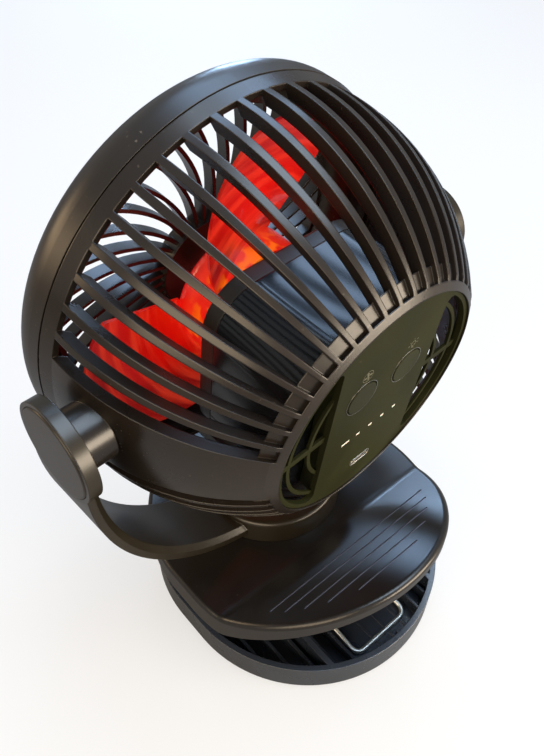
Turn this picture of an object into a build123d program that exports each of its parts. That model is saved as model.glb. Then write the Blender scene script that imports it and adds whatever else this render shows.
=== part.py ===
from build123d import *
import math
import os

# A clip fan for camping: a fan head in a swivelling yoke on a spring clamp.
# Origin on the ground under the swivel axis, +X to the clamp mouth, +Y left, +Z up.
# Millimetres. The head is placed on its own frame, turned and tilted in the yoke.

# ---- pose of the head -------------------------------------------------------
pivot_height = 170.0        # tilt axis above the ground
head_tilt = 6.87            # fan axis above level, degrees
head_swivel = 2.7           # yoke turned to the left, degrees

# ---- clearances and seats ---------------------------------------------------
running_gap = 0.3           # between pieces that move on each other
seat_gap = 0.15             # between fixed pieces that fit into each other

# ---- shells of the fan head, places measured forward along the fan axis -----
seam_at = 30.8              # joint of housing and front ring
seam_radius = 100.0
slots_front_at = 23.8
slots_front_radius = 98.8
dome_back_at = -61.5
dome_back_radius = 62.5
dome_bulge = 10.5           # rise of the dome arc above its chord
bar_depth = 5.5
rim_wall = 3.0
ring_inner_radius = 57.2
ring_back_at = -64.6
ring_front_at = -58.6
slot_pitch = 7.5
slot_angle = 5.6
slots_per_side = 21
slots_back_at = -56.5
shelf_drop = 2.2

# ---- front ring and front grille --------------------------------------------
seam_groove = 0.6
bezel_radius = 100.2
bezel_front_at = 56.3
bezel_round = 18.5
bezel_wall = 3.0
bezel_lip_radius = 78.5
bezel_lip = 1.7
spigot_reach = 3.6
spigot_wall = 1.8
grille_rim_wall = 2.9
grille_depth = 6.0
grille_bars = 36
grille_bar_width = 1.8
grille_twist = 16.0
hub_radius = 24.0
hub_wall = 1.8
hub_depth = 9.0

# ---- work light in the middle of the front grille ---------------------------
light_board_thickness = 1.2
light_lens_thickness = 2.2

# ---- rear panel --------------------------------------------------------------
panel_back_at = -63.5
panel_thickness = 3.0
panel_half_width = 30.0
window_radius = 55.0
window_top_round = 3.0
window_bottom_round = 8.0
window_rib_radii = (51.0, 39.5)
window_rib_width = 1.8
window_rib_drop = 1.6
cross_bar_height = 3.4
wall_thickness = 2.5
button_radius = 8.1
button_spacing = 27.2
button_height = 15.6
button_proud = 0.5
button_flange = 1.5
button_flange_thickness = 0.8
light_row_height = -14.0
light_row_pitch = 7.9
light_pipe_width = 2.0
light_pipe_height = 1.3
first_light_width = 4.8
port_width = 12.4
port_height = 4.2
port_height_at = -39.7
port_wall = 0.7

# ---- control board ------------------------------------------------------------
board_at = -55.4
board_thickness = 1.6
board_width = 50.0
board_height = 76.0
board_centre = -8.0
switch_size = 6.0
switch_height = 3.0

# ---- battery case and motor ---------------------------------------------------
case_width = 90.0
case_round = 22.0
case_wall = 2.5
case_back_at = -53.0
case_front_at = -10.5
lid_back_at = -10.2
lid_front_at = -2.2
lid_thickness = 3.0
cell_radius = 9.2
cell_length = 65.0
cell_pitch = 19.5
cell_room = 2.0             # at least, between cells and the walls beside them
cradle_front_at = -28.5
cradle_depth = 12.0
cradle_end_inset = 2.0
cradle_side = 7.0
cradle_leg_spacing = 44.0
cradle_leg_radius = 3.0
case_post_inset = 12.0
case_post_radius = 5.6
case_screw_radius = 1.4
case_screw_head = 2.8
case_screw_length = 15.0
motor_radius = 18.0
motor_length = 21.0
motor_wall = 1.5
bearing_radius = 5.0
bearing_width = 3.0
shaft_radius = 1.5
shaft_front_at = 36.0
magnet_radius = 7.0
magnet_length = 12.0
winding_radius = 15.6
winding_poles = 6

# ---- fan rotor -----------------------------------------------------------------
rotor_hub_radius = 32.0
rotor_hub_back_at = 8.0
rotor_hub_front_at = 32.0
rotor_wall = 2.0
rotor_boss_radius = 6.0
rotor_blades = 3
rotor_phase = -78.0
blade_centre_at = 20.0
blade_thickness = 1.6
blade_rise = 20.0
blade_spread = 92.0
# each blade from its back edge round to its front edge: degrees, distance from the axis
blade_outline = ((0.0, 36.0), (12.0, 49.0), (24.0, 63.0), (36.0, 75.0), (48.0, 83.0),
                 (60.0, 85.5), (72.0, 84.0), (83.0, 79.0), (92.0, 71.0))

# ---- tilt pivots ----------------------------------------------------------------
pivot_boss_radius = 13.5
tilt_washer_thickness = 1.0
tilt_washer_radius = 12.5
tilt_bolt_radius = 3.0
tilt_bolt_head = 6.0
tilt_bolt_head_height = 1.5
tilt_bolt_reach = 15.0
pivot_cap_radius = 20.5
pivot_cap_recess = 2.0
pivot_cap_proud = 0.4

# ---- yoke -----------------------------------------------------------------------
arm_inside = 108.4
arm_thickness = 6.0
arm_half_width = 18.5
arm_end_radius = 22.7
arm_drop = 10.5             # straight part below the tilt axis
arm_edge = 2.6
yoke_sink = 1.55            # the arc under the hub's foot, which cuts it flat
swivel_hub_radius = 37.85
swivel_hub_foot_radius = 39.24
swivel_hub_top = 60.3
swivel_hub_edge = 2.5
swivel_web = 2.8
swivel_cap_radius = 16.0
spindle_radius = 8.0
bush_wall = 1.2
shoulder_radius = 15.0
swivel_screw_radius = 3.0
swivel_screw_head = 6.0
swivel_screw_head_height = 1.3
swivel_washer_thickness = 1.0
hex_socket = 2.3
boss_depth = 10.5
boss_floor = 4.0

# ---- clamp ------------------------------------------------------------------------
upper_top = 46.35           # flat top of the upper jaw
upper_radius = 76.0
upper_tail_centre = -28.0
upper_mouth_centre = -12.0
upper_skirt = 15.35
upper_wall = 3.0
upper_edge = 2.5
tail_bend_at = -46.5
tail_rise = 30.0            # degrees
tail_blend = 12.0
tail_end_at = -110.0
tail_skirt = 8.0
groove_first = -63.6
groove_pitch = 6.1
groove_half_lengths = (55.4, 51.1, 44.3, 35.1, 20.9)
groove_width = 1.0
groove_depth = 0.6
lower_radius = 74.5
lower_tail_centre = -31.0
lower_mouth_centre = -13.0
lower_base = 1.5
lower_rim = 20.0
lower_wall = 3.0
lower_floor = 2.5
lower_rib_pitch = 9.5
lower_rib_width = 1.6
lower_rib_top = 12.0
lower_rib_low_top = 4.4
lower_rib_count = 14
lower_edge = 1.4
heavy_rib_at = 38.0
heavy_rib_width = 3.0
mouth_from = 36.0
mouth_ramp = 12.0
pad_thickness = 2.0
pad_inset = 2.0
foot_radius = 7.0
foot_back_at = -72.0
foot_front_at = 20.0
foot_side = 48.0
hinge_at = -20.0
hinge_height = 25.5
pin_radius = 3.0
pin_head_radius = 4.6
pin_head = 1.5
lug_radius = 6.5
upper_lug_at = 33.5
lower_lug_at = 39.0
lug_thickness = 4.0
wire_radius = 1.3
coil_radius = 6.0
coil_turns = 4
coil_pitch = 2.5
loop_half_width = 19.0
loop_at = -93.5
loop_height = 6.0
loop_bend = 5.0
loop_margin = 6.0
loop_clear = 20.8
coil_clear_to = -8.0
arm_end_at = -45.0
arm_turn = 300.0             # degrees of the last turn, beside the coil

os.makedirs("parts", exist_ok=True)

# ---- frames ---------------------------------------------------------------------
turn = math.radians(head_swivel)
swivel_frame = Plane(origin=(0, 0, 0), x_dir=(math.cos(turn), math.sin(turn), 0), z_dir=(0, 0, 1))
yoke_frame = swivel_frame.offset(pivot_height)
tilt = math.radians(head_tilt)
head_frame = Plane(
    origin=yoke_frame.origin,
    x_dir=(math.cos(tilt) * math.cos(turn), math.cos(tilt) * math.sin(turn), math.sin(tilt)),
    z_dir=(-math.sin(tilt) * math.cos(turn), -math.sin(tilt) * math.sin(turn), math.cos(tilt)),
)
# fan_plane looks along the fan axis: its x runs left, its y up, its normal forward
fan_plane = Plane(origin=head_frame.origin, x_dir=head_frame.y_dir, z_dir=head_frame.x_dir)
# profile_plane cuts the head through its axis: its x runs forward, its y up
profile_plane = Plane(origin=head_frame.origin, x_dir=head_frame.x_dir, z_dir=-head_frame.y_dir)
fan_axis = Axis(head_frame.origin, head_frame.x_dir)
# arm_plane holds the outline of the yoke: its x runs left, its y up
arm_plane = Plane(origin=yoke_frame.origin, x_dir=yoke_frame.y_dir, z_dir=yoke_frame.x_dir)


def across(distance):
    """Plane across the fan axis, this far in front of the tilt axis."""
    return fan_plane.offset(distance)


def sideways(frame, distance):
    """Plane across the tilt axis: x runs forward, normal away from the middle."""
    side = 1 if distance > 0 else -1
    return Plane(
        origin=frame.origin + frame.y_dir * distance, x_dir=frame.x_dir, z_dir=frame.y_dir * side
    )


def save(builder, name):
    builder.part.label = name
    export_step(builder.part, f"parts/{name}.step")


# ---- rear housing -----------------------------------------------------------------
dome_from = (slots_front_at, slots_front_radius)
dome_to = (dome_back_at, dome_back_radius)
chord = math.dist(dome_from, dome_to)
dome_radius = (chord**2 / 4 + dome_bulge**2) / (2 * dome_bulge)
chord_angle = math.atan2(dome_from[1] - dome_to[1], dome_from[0] - dome_to[0])
dome_drop = dome_radius - dome_bulge
dome_centre_at = (dome_from[0] + dome_to[0]) / 2 + dome_drop * math.sin(chord_angle)
dome_centre_radius = (dome_from[1] + dome_to[1]) / 2 - dome_drop * math.cos(chord_angle)


def dome_point(place, inset):
    """Point of the dome's arc, this far along the axis and this far inside it."""
    radius = dome_radius - inset
    return (place, dome_centre_radius + math.sqrt(radius**2 - (place - dome_centre_at) ** 2))


def dome_band(start, end, inset_out, inset_in):
    """Outline of a stretch of the dome's wall between two depths."""
    middle = (start + end) / 2
    ThreePointArc(dome_point(start, inset_out), dome_point(middle, inset_out), dome_point(end, inset_out))
    Line(dome_point(end, inset_out), dome_point(end, inset_in))
    ThreePointArc(dome_point(end, inset_in), dome_point(middle, inset_in), dome_point(start, inset_in))
    Line(dome_point(start, inset_in), dome_point(start, inset_out))


# One slot is cut by a thin wedge of the dome's wall, made about +Z and laid
# round the fan axis. Behind it, a shallow step leaves the shelf of the ring.
with BuildPart() as slot_wedge:
    with BuildSketch(Plane.XZ):
        with BuildLine():
            past = 1.5
            middle = (slots_front_at + slots_back_at) / 2
            outer = [dome_point(a, -past) for a in (slots_front_at, middle, slots_back_at)]
            inner = [dome_point(a, bar_depth + past) for a in (slots_back_at, middle, slots_front_at)]
            ThreePointArc(*[(r, a) for a, r in outer])
            Line((outer[2][1], outer[2][0]), (inner[0][1], inner[0][0]))
            ThreePointArc(*[(r, a) for a, r in inner])
            Line((inner[2][1], inner[2][0]), (outer[0][1], outer[0][0]))
        make_face()
    revolve(axis=Axis.Z, revolution_arc=slot_angle)
    with BuildSketch(Plane.XZ):
        with BuildLine():
            shelf_out = [dome_point(a, -past) for a in (slots_back_at + 1, dome_back_at - 1)]
            shelf_in = [dome_point(a, shelf_drop) for a in (dome_back_at - 1, slots_back_at + 1)]
            corners = [(r, a) for a, r in shelf_out + shelf_in]
            Polyline(*corners, close=True)
        make_face()
    revolve(axis=Axis.Z, revolution_arc=slot_angle)

top_start = 90 - slot_pitch * (slots_per_side - 1) / 2
with BuildPart(fan_plane) as rear_housing:
    with BuildSketch(profile_plane):
        with BuildLine():
            front_in = seam_radius - rim_wall
            ThreePointArc(dome_from, dome_point((slots_front_at + dome_back_at) / 2, 0), dome_to)
            Polyline(
                dome_to,
                (ring_back_at, ring_inner_radius),
                (ring_front_at, ring_inner_radius),
                dome_point(ring_front_at, bar_depth),
            )
            ThreePointArc(
                dome_point(ring_front_at, bar_depth),
                dome_point((ring_front_at + slots_front_at) / 2, bar_depth),
                dome_point(slots_front_at - 2, bar_depth),
            )
            Polyline(
                dome_point(slots_front_at - 2, bar_depth),
                (slots_front_at, front_in - 1),
                (slots_front_at + 2, front_in),
                (seam_at, front_in),
                (seam_at, seam_radius),
                dome_from,
            )
        make_face()
    revolve(axis=fan_axis)
    with PolarLocations(
        0, slots_per_side, start_angle=top_start, angular_range=slot_pitch * slots_per_side, endpoint=False
    ):
        add(slot_wedge.part, rotation=(0, 0, -slot_angle / 2), mode=Mode.SUBTRACT)
    with PolarLocations(
        0, slots_per_side, start_angle=top_start + 180, angular_range=slot_pitch * slots_per_side, endpoint=False
    ):
        add(slot_wedge.part, rotation=(0, 0, -slot_angle / 2), mode=Mode.SUBTRACT)
    # pivot bosses on the solid strips at both sides, drilled for the tilt bolts
    for side in (1, -1):
        boss_end = arm_inside - seat_gap * 2 - tilt_washer_thickness
        with BuildSketch(sideways(head_frame, side * boss_end)):
            Circle(pivot_boss_radius)
        extrude(amount=-(boss_end - dome_point(0, bar_depth / 2)[1]))
        with BuildSketch(sideways(head_frame, side * boss_end)):
            Circle(tilt_bolt_radius + seat_gap)
        extrude(amount=-tilt_bolt_reach, mode=Mode.SUBTRACT)
save(rear_housing, "rear_housing")

# ---- front ring ---------------------------------------------------------------------
bezel_back_at = seam_at + seam_groove
round_centre = (bezel_front_at - bezel_round, bezel_radius - bezel_round)
round_in = bezel_round - bezel_wall
spigot_radius = seam_radius - rim_wall - seat_gap
lip_back_at = bezel_front_at - bezel_lip
with BuildPart() as front_bezel:
    with BuildSketch(profile_plane):
        with BuildLine():
            Line((bezel_back_at, bezel_radius), (round_centre[0], bezel_radius))
            RadiusArc((round_centre[0], bezel_radius), (bezel_front_at, round_centre[1]), bezel_round)
            inner_reach = math.sqrt(round_in**2 - (lip_back_at - bezel_lip - round_centre[0]) ** 2)
            inner_corner = (lip_back_at - bezel_lip, round_centre[1] + inner_reach)
            Polyline(
                (bezel_front_at, round_centre[1]),
                (bezel_front_at, bezel_lip_radius),
                (lip_back_at, bezel_lip_radius),
                (lip_back_at, round_centre[1]),
                (inner_corner[0], round_centre[1]),
                inner_corner,
            )
            ThreePointArc(
                inner_corner,
                (
                    round_centre[0] + round_in * math.sin(math.radians(35)),
                    round_centre[1] + round_in * math.cos(math.radians(35)),
                ),
                (round_centre[0], bezel_radius - bezel_wall),
            )
            Polyline(
                (round_centre[0], bezel_radius - bezel_wall),
                (bezel_back_at + spigot_wall, bezel_radius - bezel_wall),
                (bezel_back_at + spigot_wall, spigot_radius - spigot_wall),
                (bezel_back_at - spigot_reach, spigot_radius - spigot_wall),
                (bezel_back_at - spigot_reach, spigot_radius),
                (bezel_back_at, spigot_radius),
                (bezel_back_at, bezel_radius),
            )
        make_face()
    revolve(axis=fan_axis)
save(front_bezel, "front_bezel")

# ---- front grille ---------------------------------------------------------------------
grille_front_at = lip_back_at - running_gap
grille_back_at = grille_front_at - grille_depth
grille_rim_radius = round_centre[1] - running_gap
hub_front_at = bezel_front_at - 0.5
hub_back_at = hub_front_at - hub_depth
with BuildPart() as grille_bar:
    with BuildSketch():
        with BuildLine():
            bar_from = hub_radius - 0.6
            bar_to = grille_rim_radius - grille_rim_wall + 0.6
            bar_mid = (bar_from + bar_to) / 2
            twist = math.radians(grille_twist)
            ThreePointArc(
                (bar_from, 0),
                (bar_mid * math.cos(twist * 0.36), -bar_mid * math.sin(twist * 0.36)),
                (bar_to * math.cos(twist), -bar_to * math.sin(twist)),
            )
        trace(line_width=grille_bar_width)
    extrude(amount=grille_depth)

with BuildPart(across(grille_back_at)) as front_grille:
    with BuildSketch(across(grille_back_at)):
        Circle(grille_rim_radius)
        Circle(grille_rim_radius - grille_rim_wall, mode=Mode.SUBTRACT)
    extrude(amount=grille_depth)
    with PolarLocations(0, grille_bars):
        add(grille_bar.part)
    with BuildSketch(across(hub_back_at)):
        Circle(hub_radius)
    extrude(amount=hub_depth)
    with BuildSketch(across(hub_front_at)):
        Circle(hub_radius - hub_wall)
    extrude(amount=-(hub_depth - hub_wall), mode=Mode.SUBTRACT)
save(front_grille, "front_grille")

light_board_at = hub_back_at + hub_wall + seat_gap
with BuildPart() as light_board:
    with BuildSketch(across(light_board_at)):
        Circle(hub_radius - hub_wall - seat_gap)
    extrude(amount=light_board_thickness)
    with BuildSketch(across(light_board_at + light_board_thickness)):
        with PolarLocations(hub_radius * 0.55, 6):
            Rectangle(3.5, 2.8)
    extrude(amount=0.8)
save(light_board, "light_board")

with BuildPart() as light_lens:
    with BuildSketch(across(hub_front_at)):
        Circle(hub_radius - hub_wall - seat_gap)
    extrude(amount=-light_lens_thickness)
    with BuildSketch(across(hub_front_at - light_lens_thickness)):
        Circle(hub_radius - hub_wall - seat_gap)
        Circle(hub_radius - 2 * hub_wall - seat_gap, mode=Mode.SUBTRACT)
    lens_skirt = hub_front_at - light_lens_thickness - light_board_at - light_board_thickness
    extrude(amount=-(lens_skirt - seat_gap))
save(light_lens, "light_lens")

# ---- rear panel -------------------------------------------------------------------------
panel_front_at = panel_back_at + panel_thickness
panel_radius = ring_inner_radius - seat_gap
button_spots = ((button_spacing / 2, button_height), (-button_spacing / 2, button_height))
light_spots = [(step * light_row_pitch, light_row_height) for step in (1, 0, -1, -2)]
first_light = (2 * light_row_pitch, light_row_height)
pocket_half = board_width / 2 + running_gap
with BuildPart() as rear_panel:
    with BuildSketch(across(panel_front_at)):
        Circle(panel_radius)
    extrude(amount=-panel_thickness)
    # two windows for the air, each with curved ribs and a level bar
    for side in (1, -1):
        with BuildSketch(across(panel_back_at)) as window:
            Circle(window_radius)
            with Locations((-side * (window_radius - panel_half_width), 0)):
                Rectangle(2 * window_radius, 2 * window_radius, mode=Mode.SUBTRACT)
            fillet(window.vertices().group_by(Axis.Z)[-1], window_top_round)
            fillet(window.vertices().group_by(Axis.Z)[0], window_bottom_round)
        extrude(amount=panel_thickness, mode=Mode.SUBTRACT)
    with BuildSketch(across(panel_back_at + window_rib_drop)) as ribs:
        for radius in window_rib_radii:
            Circle(radius)
            Circle(radius - window_rib_width, mode=Mode.SUBTRACT)
        Rectangle(2 * window_radius + 1, cross_bar_height)
        Rectangle(2 * panel_half_width - 0.6, 2 * window_radius, mode=Mode.SUBTRACT)
    extrude(amount=panel_thickness - window_rib_drop)
    # side walls of the pocket that holds the board
    with BuildSketch(across(panel_front_at)):
        with Locations((pocket_half + wall_thickness / 2, 0), (-pocket_half - wall_thickness / 2, 0)):
            Rectangle(wall_thickness, 2 * math.sqrt(panel_radius**2 - panel_half_width**2) - 8)
    extrude(amount=case_back_at - seat_gap - panel_front_at)
    # posts that carry the board
    with BuildSketch(across(panel_front_at)):
        with Locations(*[
            (x, board_centre + z) for x in (-21, 21) for z in (-35, 35)
        ]):
            Circle(2.5)
    extrude(amount=board_at - seat_gap - panel_front_at)
    with BuildSketch(across(panel_back_at)):
        with Locations(*button_spots):
            Circle(button_radius + running_gap)
        with Locations(*light_spots):
            Rectangle(light_pipe_width + seat_gap, light_pipe_height + seat_gap)
        with Locations(first_light):
            Rectangle(first_light_width + seat_gap, light_pipe_height + seat_gap)
        with Locations((0, port_height_at)):
            SlotOverall(port_width + 2 * seat_gap, port_height + 2 * seat_gap)
    extrude(amount=panel_thickness, mode=Mode.SUBTRACT)
save(rear_panel, "rear_panel")


def press_button(spot, name):
    """Round button with a flange behind the panel that keeps it in."""
    with BuildPart() as button:
        with BuildSketch(across(panel_front_at + running_gap)):
            with Locations(spot):
                Circle(button_radius)
        extrude(amount=-(panel_thickness + running_gap + button_proud))
        fillet(button.edges().sort_by(Axis(fan_axis.position, fan_axis.direction))[0], 0.4)
        with BuildSketch(across(panel_front_at + running_gap)):
            with Locations(spot):
                Circle(button_radius + button_flange)
        extrude(amount=button_flange_thickness)
    save(button, name)


press_button(button_spots[0], "fan_button")
press_button(button_spots[1], "light_button")

with BuildPart() as indicator_lights:
    with BuildSketch(across(board_at - seat_gap)):
        with Locations(*light_spots):
            Rectangle(light_pipe_width, light_pipe_height)
        with Locations(first_light):
            Rectangle(first_light_width, light_pipe_height)
    extrude(amount=panel_back_at - board_at + seat_gap)
save(indicator_lights, "indicator_lights")

with BuildPart() as charge_port:
    with BuildSketch(across(board_at - seat_gap)):
        with Locations((0, port_height_at)):
            SlotOverall(port_width, port_height)
    extrude(amount=panel_back_at + 0.4 - board_at + seat_gap)
    with BuildSketch(across(panel_back_at + 0.4)):
        with Locations((0, port_height_at)):
            SlotOverall(port_width - 2 * port_wall, port_height - 2 * port_wall)
    extrude(amount=5.5, mode=Mode.SUBTRACT)
    with BuildSketch(across(board_at - seat_gap)):
        with Locations((0, port_height_at)):
            Rectangle(port_width - 5, 0.8)
    extrude(amount=panel_back_at + 1.4 - board_at + seat_gap)
save(charge_port, "charge_port")

with BuildPart() as control_board:
    with BuildSketch(across(board_at)):
        with Locations((0, board_centre)):
            RectangleRounded(board_width, board_height, 2)
    extrude(amount=board_thickness)
save(control_board, "control_board")

with BuildPart() as button_switches:
    with BuildSketch(across(board_at)):
        with Locations(*button_spots):
            Rectangle(switch_size, switch_size)
    extrude(amount=-(switch_height - 0.6))
    with BuildSketch(across(board_at - switch_height + 0.6)):
        with Locations(*button_spots):
            Circle(1.7)
    extrude(amount=-0.6)
save(button_switches, "button_switches")

# ---- battery case --------------------------------------------------------------------------
case_post_at = case_width / 2 - case_post_inset
case_posts = [(x, z) for x in (-case_post_at, case_post_at) for z in (-case_post_at, case_post_at)]
inner_width = case_width - 2 * case_wall
cradle_back_at = cradle_front_at - cradle_depth
lid_floor_at = lid_front_at - lid_thickness
cell_at = case_back_at + case_wall + seat_gap + cell_radius
with BuildPart() as battery_case:
    with BuildSketch(across(case_back_at)):
        RectangleRounded(case_width, case_width, case_round)
    extrude(amount=case_front_at - case_back_at)
    with BuildSketch(across(case_back_at + case_wall)):
        RectangleRounded(inner_width, inner_width, case_round - case_wall)
    extrude(amount=case_front_at - case_back_at, mode=Mode.SUBTRACT)
    with BuildSketch(across(case_front_at)) as posts:
        with Locations(*case_posts):
            Circle(case_post_radius)
        RectangleRounded(case_width - 1, case_width - 1, case_round - 0.5, mode=Mode.INTERSECT)
    extrude(amount=cradle_front_at + seat_gap - case_front_at)
    with BuildSketch(across(case_front_at)):
        with Locations(*case_posts):
            Circle(case_screw_radius + seat_gap)
    extrude(amount=-case_screw_length - 1, mode=Mode.SUBTRACT)
save(battery_case, "battery_case")

# as many cells as the case holds side by side
cell_count = int((inner_width - 2 * (cell_radius + cell_room)) / cell_pitch) + 1
cell_rows = [(row - (cell_count - 1) / 2) * cell_pitch for row in range(cell_count)]


def cell_plane(row):
    """Plane across a cell, at its middle: the cells lie along the tilt axis."""
    centre = across(cell_at).origin + head_frame.z_dir * row
    return Plane(origin=centre, x_dir=head_frame.x_dir, z_dir=head_frame.y_dir)


with BuildPart() as battery_cells:
    for row in cell_rows:
        with BuildSketch(cell_plane(row)):
            Circle(cell_radius)
        extrude(amount=cell_length / 2, both=True)
save(battery_cells, "battery_cells")

with BuildPart() as cell_cradle:
    with BuildSketch(across(cradle_back_at)):
        Rectangle(cell_length - 2 * cradle_end_inset, cell_pitch * (cell_count - 1) + 2 * cradle_side)
    extrude(amount=cradle_front_at - cradle_back_at)
    for row in cell_rows:
        with BuildSketch(cell_plane(row)):
            Circle(cell_radius + seat_gap)
        extrude(amount=cell_length / 2, both=True, mode=Mode.SUBTRACT)
    # four legs reach forward to the motor plate
    with BuildSketch(across(cradle_front_at)):
        with GridLocations(cradle_leg_spacing, cradle_leg_spacing, 2, 2):
            Circle(cradle_leg_radius)
    extrude(amount=lid_floor_at - seat_gap - cradle_front_at)
save(cell_cradle, "cell_cradle")

# ---- motor plate and motor --------------------------------------------------------------------
motor_front_at = lid_front_at + motor_length
with BuildPart() as motor_plate:
    with BuildSketch(across(lid_back_at)):
        RectangleRounded(case_width, case_width, case_round)
        Circle(bearing_radius + 2, mode=Mode.SUBTRACT)
        with Locations(*case_posts):
            Circle(case_screw_radius + seat_gap, mode=Mode.SUBTRACT)
    extrude(amount=lid_front_at - lid_back_at)
    # the plate is hollow behind, round the screws and the bearing
    with BuildSketch(across(lid_back_at)):
        RectangleRounded(inner_width, inner_width, case_round - case_wall)
        Circle(bearing_radius + 5, mode=Mode.SUBTRACT)
        with Locations(*case_posts):
            Circle(case_post_radius, mode=Mode.SUBTRACT)
    extrude(amount=lid_floor_at - lid_back_at, mode=Mode.SUBTRACT)
    fillet(motor_plate.faces().sort_by(fan_axis)[-1].outer_wire().edges(), 1.5)
save(motor_plate, "motor_plate")

with BuildPart() as case_screws:
    with BuildSketch(across(lid_front_at)):
        with Locations(*case_posts):
            Circle(case_screw_head)
    extrude(amount=1.8)
    with BuildSketch(across(lid_front_at)):
        with Locations(*case_posts):
            Circle(case_screw_radius)
    extrude(amount=-case_screw_length)
save(case_screws, "case_screws")

with BuildPart() as motor_can:
    with BuildSketch(across(lid_front_at)):
        Circle(motor_radius)
    extrude(amount=motor_length)
    with BuildSketch(across(lid_front_at + motor_wall)):
        Circle(motor_radius - motor_wall)
    extrude(amount=motor_length - 2 * motor_wall, mode=Mode.SUBTRACT)
    with BuildSketch(across(lid_front_at)):
        Circle(bearing_radius + seat_gap)
    extrude(amount=motor_length, mode=Mode.SUBTRACT)
    # seats that carry the two bearings
    with BuildSketch(across(lid_front_at)):
        Circle(bearing_radius + seat_gap + 1.2)
        Circle(bearing_radius + seat_gap, mode=Mode.SUBTRACT)
    extrude(amount=bearing_width + 0.4)
    with BuildSketch(across(motor_front_at)):
        Circle(bearing_radius + seat_gap + 1.2)
        Circle(bearing_radius + seat_gap, mode=Mode.SUBTRACT)
    extrude(amount=-bearing_width - 0.4)
save(motor_can, "motor_can")

with BuildPart() as motor_bearings:
    for place in (lid_front_at + 0.2, motor_front_at - 0.2 - bearing_width):
        with BuildSketch(across(place)):
            Circle(bearing_radius)
            Circle(shaft_radius + running_gap, mode=Mode.SUBTRACT)
        extrude(amount=bearing_width)
save(motor_bearings, "motor_bearings")

winding_at = lid_front_at + motor_length / 2
with BuildPart() as motor_windings:
    with BuildSketch(across(winding_at - magnet_length / 2)):
        Circle(winding_radius)
        Circle(winding_radius - 2.6, mode=Mode.SUBTRACT)
        with PolarLocations((winding_radius + magnet_radius) / 2, winding_poles):
            Rectangle(winding_radius - magnet_radius - 1.6, 5)
        Circle(magnet_radius + 0.8, mode=Mode.SUBTRACT)
    extrude(amount=magnet_length)
    with BuildSketch(across(winding_at - magnet_length / 2 - 0.4)):
        Circle(motor_radius - motor_wall - seat_gap)
        Circle(winding_radius - 1, mode=Mode.SUBTRACT)
    extrude(amount=magnet_length + 0.8)
save(motor_windings, "motor_windings")

with BuildPart() as motor_shaft:
    with BuildSketch(across(lid_back_at)):
        Circle(shaft_radius)
    extrude(amount=shaft_front_at - lid_back_at)
    with BuildSketch(across(winding_at - magnet_length / 2)):
        Circle(magnet_radius)
    extrude(amount=magnet_length)
save(motor_shaft, "motor_shaft")

# ---- fan rotor ----------------------------------------------------------------------------------
with BuildPart() as rotor_blade:
    for place, reach in blade_outline:
        angle = math.radians(place)
        rise = blade_rise * (place / blade_spread - 0.5)
        section = Plane(
            origin=(0, 0, rise),
            x_dir=(math.cos(angle), math.sin(angle), 0),
            z_dir=(math.sin(angle), -math.cos(angle), 0),
        )
        with BuildSketch(section):
            with Locations(((rotor_hub_radius - rotor_wall / 2 + reach) / 2, 0)):
                Rectangle(reach - rotor_hub_radius + rotor_wall / 2, blade_thickness)
    loft()

with BuildPart(across(blade_centre_at)) as fan_rotor:
    with BuildSketch(profile_plane):
        with BuildLine():
            dome_at = rotor_hub_front_at - 6
            Polyline(
                (rotor_hub_back_at, rotor_hub_radius - rotor_wall),
                (rotor_hub_back_at, rotor_hub_radius),
                (dome_at, rotor_hub_radius),
            )
            ThreePointArc(
                (dome_at, rotor_hub_radius),
                (rotor_hub_front_at - 1.8, rotor_hub_radius - 2.2),
                (rotor_hub_front_at, rotor_hub_radius - 7),
            )
            Polyline(
                (rotor_hub_front_at, rotor_hub_radius - 7),
                (rotor_hub_front_at, shaft_radius + seat_gap),
                (motor_front_at + 1.2, shaft_radius + seat_gap),
                (motor_front_at + 1.2, rotor_boss_radius),
                (rotor_hub_front_at - rotor_wall, rotor_boss_radius),
                (rotor_hub_front_at - rotor_wall, rotor_hub_radius - 8),
                (dome_at, rotor_hub_radius - rotor_wall),
                (rotor_hub_back_at, rotor_hub_radius - rotor_wall),
            )
        make_face()
    revolve(axis=fan_axis)
    with PolarLocations(0, rotor_blades, start_angle=rotor_phase):
        add(rotor_blade.part)
save(fan_rotor, "fan_rotor")

with BuildPart() as rotor_cap:
    with BuildSketch(across(rotor_hub_front_at + seat_gap)):
        Circle(rotor_boss_radius)
    extrude(amount=shaft_front_at + 1.5 - rotor_hub_front_at - seat_gap)
    fillet(rotor_cap.edges().sort_by(fan_axis)[-1], 1.2)
    with BuildSketch(across(rotor_hub_front_at + seat_gap)):
        Circle(shaft_radius + seat_gap)
    extrude(amount=shaft_front_at + seat_gap - rotor_hub_front_at - seat_gap, mode=Mode.SUBTRACT)
save(rotor_cap, "rotor_cap")

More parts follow.
